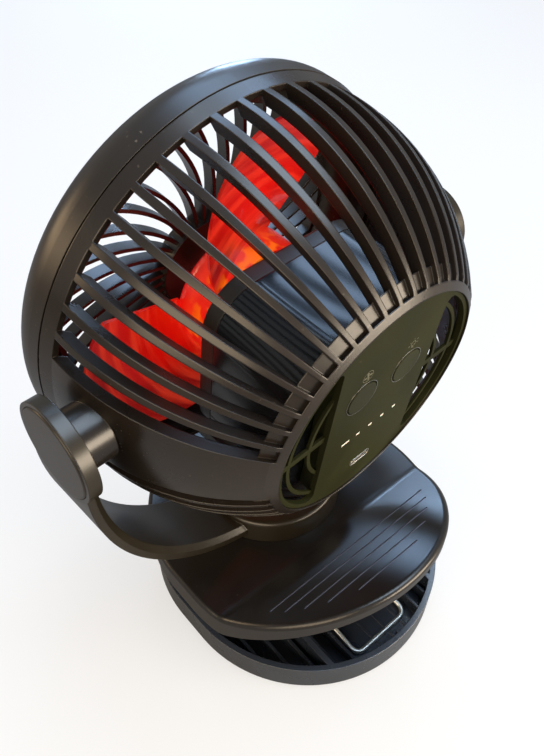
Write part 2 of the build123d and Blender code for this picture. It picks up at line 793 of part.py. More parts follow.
# ---- tilt pivots ------------------------------------------------------------------------------------
arm_outside = arm_inside + arm_thickness
cap_floor = arm_outside - pivot_cap_recess
bolt_seat = cap_floor - tilt_bolt_head_height - running_gap * 2
for side, hand in ((1, "left"), (-1, "right")):
    with BuildPart() as tilt_washer:
        washer_at = arm_inside - seat_gap - tilt_washer_thickness
        with BuildSketch(sideways(head_frame, side * washer_at)):
            Circle(tilt_washer_radius)
            Circle(tilt_bolt_radius + running_gap, mode=Mode.SUBTRACT)
        extrude(amount=tilt_washer_thickness)
    save(tilt_washer, f"tilt_washer_{hand}")
    with BuildPart() as tilt_bolt:
        with BuildSketch(sideways(head_frame, side * (bolt_seat + running_gap))):
            Circle(tilt_bolt_head)
            RegularPolygon(2.2, 6, mode=Mode.SUBTRACT)
        extrude(amount=tilt_bolt_head_height)
        with BuildSketch(sideways(head_frame, side * (bolt_seat + running_gap))):
            Circle(tilt_bolt_radius)
        extrude(amount=-(tilt_bolt_reach + tilt_washer_thickness))
    save(tilt_bolt, f"tilt_bolt_{hand}")
    with BuildPart() as pivot_cap:
        with BuildSketch(sideways(yoke_frame, side * (cap_floor + seat_gap))):
            Circle(pivot_cap_radius)
        extrude(amount=pivot_cap_recess + pivot_cap_proud)
        cap_edges = pivot_cap.edges().sort_by(Axis(yoke_frame.origin, yoke_frame.y_dir * side))
        fillet(cap_edges[-1], 1.0)
    save(pivot_cap, f"pivot_cap_{hand}")

# ---- yoke ---------------------------------------------------------------------------------------------
swivel_hub_bottom = upper_top + running_gap
web_top = swivel_hub_top - 4.5
web_bottom = web_top - swivel_web
bush_radius = spindle_radius + seat_gap + bush_wall
spindle_top = web_top + running_gap - seat_gap
boss_bottom = upper_top - upper_wall - boss_depth
arc_bottom = swivel_hub_bottom - yoke_sink - pivot_height
with BuildPart() as yoke:
    with BuildSketch(arm_plane.offset(-arm_half_width)):
        with BuildLine():
            Line((arm_outside, 0), (arm_outside, -arm_drop))
            ThreePointArc((arm_outside, -arm_drop), (0, arc_bottom), (-arm_outside, -arm_drop))
            Polyline((-arm_outside, -arm_drop), (-arm_outside, 0), (-arm_inside, 0), (-arm_inside, -arm_drop))
            ThreePointArc((-arm_inside, -arm_drop), (0, arc_bottom + arm_thickness), (arm_inside, -arm_drop))
            Polyline((arm_inside, -arm_drop), (arm_inside, 0), (arm_outside, 0))
        make_face()
    extrude(amount=2 * arm_half_width)
    long_edges = [
        edge for edge in yoke.edges().filter_by(GeomType.CIRCLE) if edge.radius < arm_outside - 1
    ]
    chamfer(long_edges, arm_edge)
    for side in (1, -1):
        with BuildSketch(sideways(yoke_frame, side * arm_inside)):
            Circle(arm_end_radius)
        extrude(amount=arm_thickness)
    # hub on the clamp, slightly wider at its foot
    with BuildSketch(swivel_frame.offset(swivel_hub_bottom)):
        Circle(swivel_hub_foot_radius + 20)
    extrude(amount=-20, mode=Mode.SUBTRACT)
    with BuildSketch(swivel_frame.offset(swivel_hub_bottom)):
        Circle(swivel_hub_foot_radius)
    with BuildSketch(swivel_frame.offset(swivel_hub_top)):
        Circle(swivel_hub_radius)
    loft()
    with BuildSketch(swivel_frame.offset(swivel_hub_top)):
        Circle(swivel_hub_radius + 2)
    extrude(amount=10, mode=Mode.SUBTRACT)
    top_rim = yoke.edges().filter_by(GeomType.CIRCLE).sort_by(Axis.Z)
    fillet([e for e in top_rim if abs(e.center().Z - swivel_hub_top) < 0.01], swivel_hub_edge)
    # hollow under the hub, bore for the spindle and seat for its washer
    with BuildSketch(swivel_frame.offset(swivel_hub_bottom)):
        Circle(swivel_hub_radius - 4)
    extrude(amount=web_bottom - swivel_hub_bottom, mode=Mode.SUBTRACT)
    with BuildSketch(swivel_frame.offset(web_bottom)):
        Circle(bush_radius + running_gap)
    extrude(amount=swivel_hub_top - web_bottom, mode=Mode.SUBTRACT)
    with BuildSketch(swivel_frame.offset(web_top)):
        Circle(swivel_cap_radius + seat_gap)
    extrude(amount=swivel_hub_top - web_top, mode=Mode.SUBTRACT)
    # recesses for the pivot covers and holes for the tilt bolts
    for side in (1, -1):
        with BuildSketch(sideways(yoke_frame, side * cap_floor)):
            Circle(pivot_cap_radius + seat_gap)
        extrude(amount=arm_thickness, mode=Mode.SUBTRACT)
        with BuildSketch(sideways(yoke_frame, side * bolt_seat)):
            Circle(tilt_bolt_head + running_gap)
        extrude(amount=arm_thickness, mode=Mode.SUBTRACT)
        with BuildSketch(sideways(yoke_frame, side * (arm_inside - 1))):
            Circle(tilt_bolt_radius + running_gap)
        extrude(amount=arm_thickness, mode=Mode.SUBTRACT)
save(yoke, "yoke")

# ---- clamp: outlines and profiles --------------------------------------------------------------------
def jaw_outline(radius, tail_centre, mouth_centre, mode=Mode.ADD):
    """Round-ended outline of a jaw, seen from above."""
    with Locations(((tail_centre + mouth_centre) / 2, 0)):
        SlotCenterToCenter(mouth_centre - tail_centre, 2 * radius, mode=mode)


def upper_profile(top_inset, depth, tail_depth):
    """Side outline of the upper jaw: flat over the mouth, rising to the tail."""
    run = tail_bend_at - tail_end_at
    rise = run * math.tan(math.radians(tail_rise))
    mouth_end = upper_radius + upper_mouth_centre + 5
    top = upper_top - top_inset
    with BuildSketch(Plane.XZ) as profile:
        with BuildLine():
            upper_line = FilletPolyline(
                (mouth_end, top), (tail_bend_at, top), (tail_end_at, top + rise), radius=tail_blend
            )
            lower_line = FilletPolyline(
                (tail_end_at, top + rise - tail_depth),
                (tail_bend_at, top - depth),
                (mouth_end, top - depth),
                radius=tail_blend,
            )
            Line(upper_line @ 1, lower_line @ 0)
            Line(lower_line @ 1, upper_line @ 0)
        make_face()
    return profile.sketch


# ---- upper jaw ----------------------------------------------------------------------------------------
inside_top = upper_top - upper_wall
skirt_bottom = upper_top - upper_skirt
with BuildPart() as jaw_hollow:
    extrude(upper_profile(upper_wall, upper_skirt * 2, tail_skirt * 3), amount=2 * upper_radius, both=True)
    with BuildSketch():
        jaw_outline(upper_radius - upper_wall, upper_tail_centre, upper_mouth_centre)
    extrude(amount=pivot_height, mode=Mode.INTERSECT)

with BuildPart() as upper_jaw:
    extrude(upper_profile(0, upper_skirt, tail_skirt), amount=2 * upper_radius, both=True)
    with BuildSketch():
        jaw_outline(upper_radius, upper_tail_centre, upper_mouth_centre)
    extrude(amount=pivot_height, mode=Mode.INTERSECT)
    upward = [f for f in upper_jaw.faces() if f.normal_at(f.center()).Z > 0.6]
    rim_edges = [
        e for f in upward for e in f.edges() if not (e.geom_type == GeomType.LINE and abs((e % 0).Y) > 0.9)
    ]
    fillet(rim_edges, upper_edge)
    add(jaw_hollow.part, mode=Mode.SUBTRACT)
    # closing plate over the mouth
    with BuildSketch(Plane.XY.offset(skirt_bottom)):
        jaw_outline(upper_radius - upper_wall / 2, upper_tail_centre, upper_mouth_centre)
        with Locations((mouth_from - 2 * upper_radius, 0)):
            Rectangle(4 * upper_radius, 4 * upper_radius, mode=Mode.SUBTRACT)
    extrude(amount=upper_wall)
    # boss for the swivel screw, shoulder and spindle of the swivel
    with BuildSketch(Plane.XY.offset(boss_bottom)):
        Circle(shoulder_radius - 2)
    extrude(amount=inside_top - boss_bottom)
    with BuildSketch(Plane.XY.offset(inside_top)):
        Circle(shoulder_radius)
    extrude(amount=web_bottom - running_gap - inside_top)
    with BuildSketch(Plane.XY.offset(inside_top)):
        Circle(spindle_radius)
    extrude(amount=spindle_top - inside_top)
    with BuildSketch(Plane.XY.offset(boss_bottom + boss_floor)):
        Circle(swivel_screw_radius + seat_gap)
    extrude(amount=swivel_hub_top, mode=Mode.SUBTRACT)
    # lugs for the hinge pin
    for side in (1, -1):
        with BuildSketch(Plane.XZ.offset(-side * upper_lug_at)):
            with Locations((hinge_at, hinge_height)):
                Circle(lug_radius)
            with Locations((hinge_at, (hinge_height + inside_top + 1) / 2)):
                Rectangle(2 * lug_radius, inside_top + 1 - hinge_height)
            with Locations((hinge_at, hinge_height)):
                Circle(pin_radius + running_gap, mode=Mode.SUBTRACT)
        extrude(amount=lug_thickness / 2, both=True)
    # grip grooves across the tail
    lean = math.radians(tail_rise)
    for step, half in enumerate(groove_half_lengths):
        place = groove_first - step * groove_pitch
        height = upper_top + (tail_bend_at - place) * math.tan(lean)
        groove = Plane(
            origin=(place, 0, height), x_dir=(0, 1, 0), z_dir=(math.sin(lean), 0, math.cos(lean))
        )
        with BuildSketch(groove):
            SlotOverall(2 * half, groove_width)
        extrude(amount=-groove_depth, mode=Mode.SUBTRACT)
save(upper_jaw, "upper_jaw")

with BuildPart() as upper_grip_pad:
    with BuildSketch(Plane.XY.offset(skirt_bottom)):
        jaw_outline(upper_radius - pad_inset, upper_tail_centre, upper_mouth_centre)
        with Locations((mouth_from + pad_inset - 2 * upper_radius, 0)):
            Rectangle(4 * upper_radius, 4 * upper_radius, mode=Mode.SUBTRACT)
    extrude(amount=-pad_thickness)
save(upper_grip_pad, "upper_grip_pad")

# ---- swivel ---------------------------------------------------------------------------------------------
with BuildPart() as swivel_bush:
    with BuildSketch(Plane.XY.offset(web_bottom)):
        Circle(bush_radius)
        Circle(spindle_radius + seat_gap, mode=Mode.SUBTRACT)
    extrude(amount=swivel_web)
save(swivel_bush, "swivel_bush")

with BuildPart() as swivel_washer:
    with BuildSketch(Plane.XY.offset(spindle_top + seat_gap)):
        Circle(swivel_cap_radius - 1)
        Circle(swivel_screw_radius + seat_gap, mode=Mode.SUBTRACT)
    extrude(amount=swivel_washer_thickness)
save(swivel_washer, "swivel_washer")

screw_seat = spindle_top + 2 * seat_gap + swivel_washer_thickness
with BuildPart() as swivel_screw:
    with BuildSketch(Plane.XY.offset(screw_seat)):
        Circle(swivel_screw_head)
        RegularPolygon(hex_socket, 6, mode=Mode.SUBTRACT)
    extrude(amount=swivel_screw_head_height)
    with BuildSketch(Plane.XY.offset(screw_seat)):
        Circle(swivel_screw_radius)
    extrude(amount=boss_bottom + boss_floor + seat_gap - screw_seat)
save(swivel_screw, "swivel_screw")

with BuildPart() as swivel_cap:
    with BuildSketch(Plane.XY.offset(swivel_hub_top)):
        Circle(swivel_cap_radius)
    extrude(amount=screw_seat + swivel_screw_head_height + running_gap - swivel_hub_top)
save(swivel_cap, "swivel_cap")

# ---- lower jaw ---------------------------------------------------------------------------------------------
floor_top = lower_base + lower_floor
mouth_top = skirt_bottom - 2 * pad_thickness - running_gap
mouth_tip = lower_radius + lower_mouth_centre
with BuildPart() as mouth_block:
    with BuildSketch(Plane.XZ):
        with BuildLine():
            Polyline(
                (mouth_from - mouth_ramp, floor_top),
                (mouth_from - mouth_ramp, lower_rim),
                (mouth_from, mouth_top),
                (mouth_tip + 5, mouth_top),
                (mouth_tip + 5, floor_top),
                close=True,
            )
        make_face()
    extrude(amount=2 * lower_radius, both=True)
    with BuildSketch():
        jaw_outline(lower_radius, lower_tail_centre, lower_mouth_centre)
    extrude(amount=pivot_height, mode=Mode.INTERSECT)

with BuildPart() as lower_jaw:
    with BuildSketch(Plane.XY.offset(lower_base)):
        jaw_outline(lower_radius, lower_tail_centre, lower_mouth_centre)
    extrude(amount=lower_rim - lower_base)
    fillet(lower_jaw.faces().sort_by(Axis.Z)[0].outer_wire().edges(), lower_edge)
    with BuildSketch(Plane.XY.offset(floor_top)):
        jaw_outline(lower_radius - lower_wall, lower_tail_centre, lower_mouth_centre)
    extrude(amount=lower_rim, mode=Mode.SUBTRACT)
    # ribs along the floor, kept low where the spring's loop lies
    with BuildSketch(Plane.XY.offset(floor_top)):
        with GridLocations(1, lower_rib_pitch, 1, lower_rib_count):
            Rectangle(6 * lower_radius, lower_rib_width)
        with GridLocations(1, 2 * loop_clear, 1, 2):
            Rectangle(6 * lower_radius, 1, mode=Mode.SUBTRACT)
        jaw_outline(lower_radius - 1, lower_tail_centre, lower_mouth_centre, mode=Mode.INTERSECT)
    extrude(amount=lower_rib_top - floor_top)
    with BuildSketch(Plane.XY.offset(lower_rib_low_top)):
        with Locations(((loop_at - loop_margin + coil_clear_to) / 2, 0)):
            Rectangle(coil_clear_to - loop_at + loop_margin, 2 * loop_clear)
    extrude(amount=lower_rim, mode=Mode.SUBTRACT)
    with BuildSketch(Plane.XY.offset(floor_top)):
        with GridLocations(1, 2 * heavy_rib_at, 1, 2):
            Rectangle(6 * lower_radius, heavy_rib_width)
        jaw_outline(lower_radius - 1, lower_tail_centre, lower_mouth_centre, mode=Mode.INTERSECT)
    extrude(amount=lower_rim - floor_top)
    # raised block under the mouth, hollow from below
    add(mouth_block.part)
    with BuildSketch(Plane.XY.offset(lower_base)):
        jaw_outline(lower_radius - lower_wall, lower_tail_centre, lower_mouth_centre)
        with Locations((mouth_from + lower_wall - 2 * lower_radius, 0)):
            Rectangle(4 * lower_radius, 4 * lower_radius, mode=Mode.SUBTRACT)
    extrude(amount=mouth_top - lower_wall - lower_base, mode=Mode.SUBTRACT)
    # lugs for the hinge pin
    for side in (1, -1):
        with BuildSketch(Plane.XZ.offset(-side * lower_lug_at)):
            with Locations((hinge_at, hinge_height)):
                Circle(lug_radius)
            with Locations((hinge_at, (hinge_height + floor_top) / 2)):
                Rectangle(2 * lug_radius, hinge_height - floor_top)
            with Locations((hinge_at, hinge_height)):
                Circle(pin_radius + seat_gap, mode=Mode.SUBTRACT)
        extrude(amount=lug_thickness / 2, both=True)
save(lower_jaw, "lower_jaw")

with BuildPart() as lower_grip_pad:
    with BuildSketch(Plane.XY.offset(mouth_top)):
        jaw_outline(lower_radius - pad_inset, lower_tail_centre, lower_mouth_centre)
        with Locations((mouth_from + pad_inset - 2 * lower_radius, 0)):
            Rectangle(4 * lower_radius, 4 * lower_radius, mode=Mode.SUBTRACT)
    extrude(amount=pad_thickness)
save(lower_grip_pad, "lower_grip_pad")

with BuildPart() as rubber_feet:
    with BuildSketch():
        with Locations((foot_back_at, 0), (foot_front_at, 0)):
            with GridLocations(1, 2 * foot_side, 1, 2):
                Circle(foot_radius)
    extrude(amount=lower_base)
    fillet(rubber_feet.faces().group_by(Axis.Z)[0].edges(), lower_base / 3)
save(rubber_feet, "rubber_feet")

# ---- hinge pin and spring --------------------------------------------------------------------------------------
head_from = lower_lug_at + lug_thickness / 2 + seat_gap
with BuildPart() as hinge_pin:
    with BuildSketch(Plane.XZ):
        with Locations((hinge_at, hinge_height)):
            Circle(pin_radius)
    extrude(amount=head_from + pin_head, both=True)
    for side in (1, -1):
        with BuildSketch(Plane.XZ.offset(-side * (head_from + pin_head / 2))):
            with Locations((hinge_at, hinge_height)):
                Circle(pin_head_radius)
        extrude(amount=pin_head / 2, both=True)
save(hinge_pin, "hinge_pin")

hinge_axis = Axis((hinge_at, 0, hinge_height), (0, 1, 0))


def tangent_from(end_x, end_z, bend):
    """Point where a straight wire from this end meets the coil, below (1) or above (-1)."""
    gap_x = hinge_at - end_x
    gap_z = hinge_height - end_z
    reach = math.hypot(gap_x, gap_z)
    angle = math.atan2(gap_z, gap_x) - bend * math.asin(coil_radius / reach)
    length = math.sqrt(reach**2 - coil_radius**2)
    return (end_x + length * math.cos(angle), end_z + length * math.sin(angle))


def coil_ring(place):
    """One turn of wire round the hinge axis."""
    with BuildPart() as ring:
        with BuildSketch(Plane.XY.offset(hinge_height)):
            with Locations((hinge_at + coil_radius, place)):
                Circle(wire_radius)
        revolve(axis=hinge_axis)
    return ring.part


loop_start_x, loop_start_z = tangent_from(loop_at, loop_height, 1)
loop_slope = math.atan2(loop_start_z - loop_height, loop_start_x - loop_at)
loop_plane = Plane(
    origin=(loop_at, 0, loop_height),
    x_dir=(math.cos(loop_slope), 0, math.sin(loop_slope)),
    z_dir=(-math.sin(loop_slope), 0, math.cos(loop_slope)),
)
loop_length = math.dist((loop_at, loop_height), (loop_start_x, loop_start_z))
with BuildPart() as clamp_spring:
    for side in (1, -1):
        for turn_number in range(coil_turns):
            add(coil_ring(side * (loop_half_width + turn_number * coil_pitch)))
    with BuildLine(loop_plane) as loop_path:
        FilletPolyline(
            (loop_length, -loop_half_width),
            (0, -loop_half_width),
            (0, loop_half_width),
            (loop_length, loop_half_width),
            radius=loop_bend,
        )
    with BuildSketch(Plane(origin=loop_path.line @ 0, z_dir=loop_path.line % 0)):
        Circle(wire_radius)
    sweep(path=loop_path.line)
save(clamp_spring, "clamp_spring")

arm_ring_at = loop_half_width + (coil_turns - 1) * coil_pitch + 2 * wire_radius + running_gap
arm_end_height = inside_top - wire_radius - running_gap
arm_start_x, arm_start_z = tangent_from(arm_end_at, arm_end_height, -1)
arm_angle = math.degrees(math.atan2(arm_start_z - hinge_height, arm_start_x - hinge_at))
with BuildPart() as spring_arms:
    for side in (1, -1):
        with BuildLine(Plane.XZ.offset(-side * arm_ring_at)) as arm_path:
            CenterArc((hinge_at, hinge_height), coil_radius, arm_angle - arm_turn, arm_turn)
            Line((arm_start_x, arm_start_z), (arm_end_at, arm_end_height))
        with BuildSketch(Plane(origin=arm_path.line @ 0, z_dir=arm_path.line % 0)):
            Circle(wire_radius)
        sweep(path=arm_path.line)
save(spring_arms, "spring_arms")
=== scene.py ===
# %% [markdown]
# # A clip fan for camping
# The fan is a round head with a slotted back, held in a swivelling yoke on a spring clamp.
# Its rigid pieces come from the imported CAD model, which is loaded first and never moved. What
# Blender adds is the finish: the grain of the plastics, the rotor that lets light through,
# the bent wire of the spring, and the marks on the control panel. Units are metres, +Z is up
# and +X is the way the fan blows.

# %% Load the frame
import math

import bpy
from mathutils import Matrix, Vector


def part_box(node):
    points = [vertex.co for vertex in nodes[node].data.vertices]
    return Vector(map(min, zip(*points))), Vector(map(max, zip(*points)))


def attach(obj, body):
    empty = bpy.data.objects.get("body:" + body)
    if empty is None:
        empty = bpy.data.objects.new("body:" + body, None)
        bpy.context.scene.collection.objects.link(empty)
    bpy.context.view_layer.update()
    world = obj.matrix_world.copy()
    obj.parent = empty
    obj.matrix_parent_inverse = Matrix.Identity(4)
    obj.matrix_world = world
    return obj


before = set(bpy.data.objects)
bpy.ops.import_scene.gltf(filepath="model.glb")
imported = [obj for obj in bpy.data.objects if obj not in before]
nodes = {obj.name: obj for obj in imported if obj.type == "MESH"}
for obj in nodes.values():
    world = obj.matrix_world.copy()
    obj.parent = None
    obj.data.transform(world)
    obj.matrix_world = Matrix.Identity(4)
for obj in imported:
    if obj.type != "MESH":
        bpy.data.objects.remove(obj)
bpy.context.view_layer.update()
bpy.ops.object.select_all(action="DESELECT")

# %% [markdown]
# ## Where the fan head lies
# The head is turned a little in the clamp and tilted up in the yoke. Everything on its back
# lies on planes across the fan axis, so it is handy to have that axis as a vector, with a
# second one to the head's left and a third one up its back. A place on the head is then three
# plain numbers: how far forward, how far left and how far up from the tilt axis.

# %% Directions of the head
PIVOT = Vector((0.0, 0.0, 0.170))
TILT = math.radians(6.87)
SWIVEL = math.radians(2.7)


def toward(turn, rise):
    """Direction that is turned from +X about +Z and then raised, both in radians."""
    level = math.cos(rise)
    return Vector((level * math.cos(turn), level * math.sin(turn), math.sin(rise)))


forward = toward(SWIVEL, TILT)
leftward = Vector((-math.sin(SWIVEL), math.cos(SWIVEL), 0.0))
upward = forward.cross(leftward)


def on_head(along, left, up):
    """Place on the head, in metres from the tilt axis."""
    return PIVOT + forward * along + leftward * left + upward * up


print("fan axis:", [round(v, 4) for v in forward], "tilt axis:", [round(v, 4) for v in leftward])

# %% [markdown]
# ## Camera
# The fan is seen from behind and above, from its left, with its control panel turned to the
# viewer. A camera can be aimed with a constraint or by hand. Here its place and its three
# turns are written down, because the view also leans a little to one side.

# %% Camera
camera_data = bpy.data.cameras.new("viewing_camera")
camera_data.sensor_width = 36.0
camera_data.lens = 35.57
camera = bpy.data.objects.new("viewing_camera", camera_data)
camera.location = (-0.19159, 0.17077, 0.39234)
camera.rotation_euler = [math.radians(a) for a in (44.522, -0.685, -131.080)]
bpy.context.scene.collection.objects.link(camera)
bpy.context.scene.camera = camera
bpy.context.scene.view_settings.view_transform = "Standard"
print("camera at", tuple(round(v, 3) for v in camera.location))

# %% [markdown]
# ## Shader maths as plain expressions
# A procedural material is a graph of small nodes. Wiring them one by one hides what they
# work out, so a thin class wraps an output socket and lets it be added, multiplied and raised
# to a power like a number. Each operator adds one Math node. Every other node comes from one
# method that takes the node's type, its settings and what goes into its sockets.

# %% A socket that does arithmetic
class Wire:
    """Output socket of a node inside one graph."""

    def __init__(self, graph, value):
        self.graph = graph
        self.value = value

    def _math(self, operation, first, second):
        return self.graph.node("ShaderNodeMath", {"operation": operation}, {0: first, 1: second})

    def __add__(self, other):
        return self._math("ADD", self, other)

    __radd__ = __add__

    def __mul__(self, other):
        return self._math("MULTIPLY", self, other)

    __rmul__ = __mul__

    def __sub__(self, other):
        return self._math("SUBTRACT", self, other)

    def __rsub__(self, other):
        return self._math("SUBTRACT", other, self)

    def __pow__(self, other):
        return self._math("POWER", self, other)


print("arithmetic on sockets is ready")

# %% A graph of nodes
class Graph:
    """Nodes of a material or of the world, added by expressions."""

    def __init__(self, tree):
        self.tree = tree

    def node(self, kind, settings, inputs, output=0):
        """Adds a node, sets it up, joins its inputs and gives one of its outputs."""
        made = self.tree.nodes.new(kind)
        for key, value in settings.items():
            setattr(made, key, value)
        for key, value in inputs.items():
            self.feed(made.inputs[key], value)
        return Wire(self, made.outputs[output])

    def feed(self, socket, value):
        """Joins a wire to a socket, or sets the socket's own value."""
        value = value.value if isinstance(value, Wire) else value
        if isinstance(value, bpy.types.NodeSocket):
            self.tree.links.new(value, socket)
        elif isinstance(value, tuple) and len(value) == 3 and socket.type == "RGBA":
            socket.default_value = (*value, 1.0)
        else:
            socket.default_value = value


print("graphs can be made")

# %% [markdown]
# ## One material, one graph
# A finish starts from the Principled shader. The class below makes the material and has short
# methods for what nearly every finish here needs: a noise at a real size, a soft step between
# two values, a blend of two colours and a bump.

# %% A material and its graph
class Finish(Graph):
    """A material whose nodes are added by expressions."""

    def __init__(self, name):
        self.material = bpy.data.materials.new(name)
        self.material.use_nodes = True
        super().__init__(self.material.node_tree)
        self.shader = self.tree.nodes["Principled BSDF"]
        self.coords = self.node("ShaderNodeTexCoord", {}, {}, output="Object")

    def noise(self, size, detail=3.0, rough=0.55, along=None):
        """Noise from 0 to 1 whose patches are about this many metres across."""
        place = self.coords if along is None else along
        settings = {"noise_dimensions": "3D"}
        inputs = {"Vector": place, "Scale": 1.0 / size, "Detail": detail, "Roughness": rough}
        return self.node("ShaderNodeTexNoise", settings, inputs)

    def step(self, value, low, high):
        """0 below low, 1 above high, and smooth between."""
        settings = {"interpolation_type": "SMOOTHSTEP"}
        inputs = {"Value": value, "From Min": low, "From Max": high}
        return self.node("ShaderNodeMapRange", settings, inputs)

    def blend(self, factor, first, second):
        """Colour between two colours."""
        settings = {"data_type": "RGBA"}
        inputs = {0: factor, 6: first, 7: second}
        return self.node("ShaderNodeMix", settings, inputs, output=2)

    def bump(self, height, depth, strength=1.0, under=None):
        """Normal of a height from 0 to 1, this many metres deep."""
        inputs = {"Height": height, "Distance": depth, "Strength": strength}
        if under is not None:
            inputs["Normal"] = under
        return self.node("ShaderNodeBump", {}, inputs)

    def across(self, direction):
        """How far a place is from the origin along a direction, in metres."""
        inputs = {0: self.coords, 1: tuple(direction)}
        return self.node("ShaderNodeVectorMath", {"operation": "DOT_PRODUCT"}, inputs, output=1)

    def set(self, **values):
        """Feeds the Principled shader: names use _ for a space."""
        for name, value in values.items():
            self.feed(self.shader.inputs[name.replace("_", " ")], value)


print("finishes can be made")

# %% [markdown]
# ## Moulded plastics
# The shells are injection moulded in near-black ABS. Under a close light such a skin isn't
# flat: it has a fine spark grain, faint flow clouds, and a few specks of dust. The colour
# varies little and the roughness more, which is what breaks up the highlights. One function
# makes them all, and the pieces differ in their colour, gloss and grain. The grooves in the
# clamp's tail get a painted highlight: they are painted pale where their edges would catch
# the light. A mask finds them: they are the places on the tail that lie less than a
# millimetre under its slope, away from the rounded rim.

# %% Mask of the grooves in the clamp's tail
TAIL_RISE = math.radians(30)
TAIL_BEND = Vector((-0.0465, 0.0, 0.04635))
TAIL_UP = Vector((math.sin(TAIL_RISE), 0.0, math.cos(TAIL_RISE)))
TAIL_CENTRE = -0.028
RIM_FROM, RIM_FULL = 0.068, 0.070
GROOVE_FROM, GROOVE_FULL = -0.00015, -0.00050
UNDER_FROM, UNDER_FULL = -0.0010, -0.0012


def painted_groove_mask(f):
    """Mask of the five grooves, which lie just under the sloping tail of the upper jaw, for their
    painted highlight.
    """
    depth = f.across(TAIL_UP) - TAIL_BEND.dot(TAIL_UP)
    from_centre = ((f.across((1, 0, 0)) - TAIL_CENTRE) ** 2 + f.across((0, 1, 0)) ** 2) ** 0.5
    under = (1.0 - f.step(depth, GROOVE_FULL, GROOVE_FROM)) * f.step(depth, UNDER_FULL, UNDER_FROM)
    return under * (1.0 - f.step(from_centre, RIM_FROM, RIM_FULL))


print("tail slope:", [round(v, 3) for v in TAIL_UP])

# %% Moulded plastic
BROWN_BLACK = (0.012, 0.0092, 0.0075)
DUST = (0.16, 0.135, 0.10)
# Pale colour painted into the jaw's grooves as a highlight, where their edges would catch the
# light.
GROOVE_HIGHLIGHT_PAINT = (0.15, 0.14, 0.18)
LIGHTER = 1.45
CLOUD_SIZE, GRAIN_SIZE = 0.035, 0.0009
SPECK_SIZE, DUSTY_PATCH = 0.0016, 0.02


def moulded(name, colour, rough, dust=0.35, coat=0.0, edge=0.0004, shine=0.5, grain=0.000006,
            groove_highlight=None):
    """Near-black plastic with soft edges, clouds, grain, dust and, if asked, grooves painted pale
    as a highlight.
    """
    f = Finish(name)
    clouds = f.noise(CLOUD_SIZE, detail=4.0)
    grains = f.noise(GRAIN_SIZE, detail=2.0)
    specks = f.step(f.noise(SPECK_SIZE, detail=1.0, rough=0.4), 0.70, 0.78)
    where = f.step(f.noise(DUSTY_PATCH, detail=3.0), 0.45, 0.7)
    dusting = specks * where * dust
    tone = f.blend(f.step(clouds, 0.3, 0.75), colour, tuple(c * LIGHTER for c in colour))
    if groove_highlight:
        # Painted highlight: the grooves are painted pale.
        tone = f.blend(groove_highlight(f), tone, GROOVE_HIGHLIGHT_PAINT)
    rounded = f.node("ShaderNodeBevel", {"samples": 8}, {"Radius": edge})
    f.set(
        Base_Color=f.blend(dusting, tone, DUST),
        Roughness=rough + (clouds - 0.5) * 0.12 + dusting * 0.3,
        Coat_Weight=coat,
        Coat_Roughness=0.10,
        Specular_IOR_Level=shine,
        Normal=f.bump(grains, grain, 0.5, under=rounded),
    )
    return f.material


housing_skin = moulded("housing_plastic", BROWN_BLACK, 0.28, edge=0.0007)
bezel_skin = moulded("bezel_plastic", (0.011, 0.0085, 0.0065), 0.34, dust=0.5)
grille_skin = moulded("grille_plastic", (0.011, 0.009, 0.008), 0.28, shine=0.7)
yoke_skin = moulded("yoke_plastic", (0.013, 0.0105, 0.0065), 0.30, dust=0.25, edge=0.0007)
cap_skin = moulded("cap_plastic", (0.014, 0.011, 0.007), 0.34, dust=0.25, edge=0.0007)
# The jaw's grooves get a painted highlight.
jaw_skin_with_groove_highlight = moulded(
    "jaw_plastic", (0.010, 0.0085, 0.0075), 0.30,
    dust=0.15, grain=0.000001, edge=0.00025, groove_highlight=painted_groove_mask,
)
# Painted reflection and light: the clamp's tray is the same black plastic, but its colour is made
# blue and lighter to paint the sky it mirrors and the light it would catch under the upper jaw.
tray_skin_painted_sky = moulded("tray_plastic_painted_reflection", (0.017, 0.023, 0.036), 0.27, dust=0.2, edge=0.0005, shine=0.9)
# Painted reflection: the olive of the panel and its keys paints the green ground they mirror; the
# plastic itself is black.
panel_skin_painted_green = moulded("panel_plastic", (0.016, 0.0175, 0.007), 0.50, dust=0.2, shine=0.05)
button_skin_painted_green = moulded("button_plastic", (0.0165, 0.018, 0.0075), 0.46, dust=0.1, shine=0.08)
# Painted reflection: the faint blue of the battery case paints the sky it mirrors.
case_skin_painted_sky = moulded("case_plastic", (0.006, 0.0075, 0.010), 0.13, dust=0.05, grain=0.0)
inner_skin = moulded("inner_plastic", (0.014, 0.012, 0.011), 0.3)
print("plastics:", len([m for m in bpy.data.materials if "plastic" in m.name]))

# %% [markdown]
# ## Rubber
# The pads in the mouth and the feet are soft rubber: matt, a little lighter than the plastic
# and with a bloom that catches light at an angle. Fine ribs across the pads come from a
# rounded wave in the height.

# %% Rubber
def rubber(name, rib_pitch=None):
    """Matt rubber, ribbed along X where a pitch is given."""
    f = Finish(name)
    bloom = f.noise(0.008, detail=4.0)
    height = f.noise(0.0006, detail=2.0)
    if rib_pitch:
        phase = f.across((1, 0, 0)) * (2 * math.pi / rib_pitch)
        ribs = f.node("ShaderNodeMath", {"operation": "SINE"}, {0: phase})
        height = height * 0.15 + f.step(ribs, -0.4, 0.6)
    f.set(
        Base_Color=f.blend(bloom, (0.018, 0.018, 0.018), (0.04, 0.039, 0.037)),
        Roughness=0.78 + (bloom - 0.5) * 0.2,
        Normal=f.bump(height, 0.0004 if rib_pitch else 0.00005, 0.8),
    )
    return f.material


pad_rubber = rubber("pad_rubber", rib_pitch=0.003)
foot_rubber = rubber("foot_rubber")
print("rubbers made")

# %% [markdown]
# ## Metals
# Bright wire, zinc-plated screws and turned steel differ in the direction of their marks.
# Drawing lines run along a wire and turning marks run round a pin, so noise is stretched
# along one axis. The marks change the roughness more than the colour.

